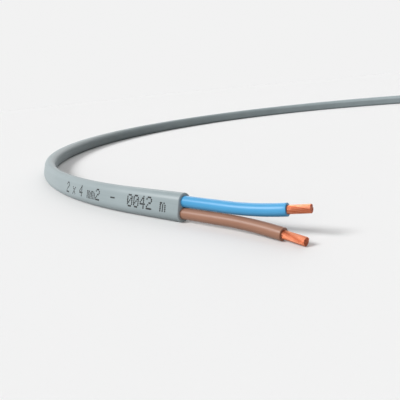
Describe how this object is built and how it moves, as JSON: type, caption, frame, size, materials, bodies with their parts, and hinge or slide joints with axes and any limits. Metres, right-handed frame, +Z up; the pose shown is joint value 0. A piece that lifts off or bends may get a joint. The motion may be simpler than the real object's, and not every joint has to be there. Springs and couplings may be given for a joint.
{
  "type": "flat power cable",
  "caption": "Flat flexible power cable: a grey oval sheath over a blue and a brown core, stripped at one end to bare twisted copper strands.",
  "frame": {"origin": "middle of the lay's plan, on the surface that the cable stands on", "axes": "+X out of the stripped end, +Y towards the far cut, +Z up from the surface, with the cable's width leaning 16 degrees from it"},
  "size_m": [0.2954, 0.477, 0.0102],
  "materials": {
    "sheath": "satin extruded grey sheath",
    "blue_insulation": "semi-gloss extruded blue insulation",
    "brown_insulation": "semi-gloss extruded brown insulation",
    "copper": "bright drawn copper strands"
  },
  "bodies": {
    "root": {"outer_sheath": "sheath", "blue_insulation": "blue_insulation", "brown_insulation": "brown_insulation", "blue_conductor": "copper", "brown_conductor": "copper", "blue_strands": "copper", "brown_strands": "copper"}
  },
  "joints": []
}
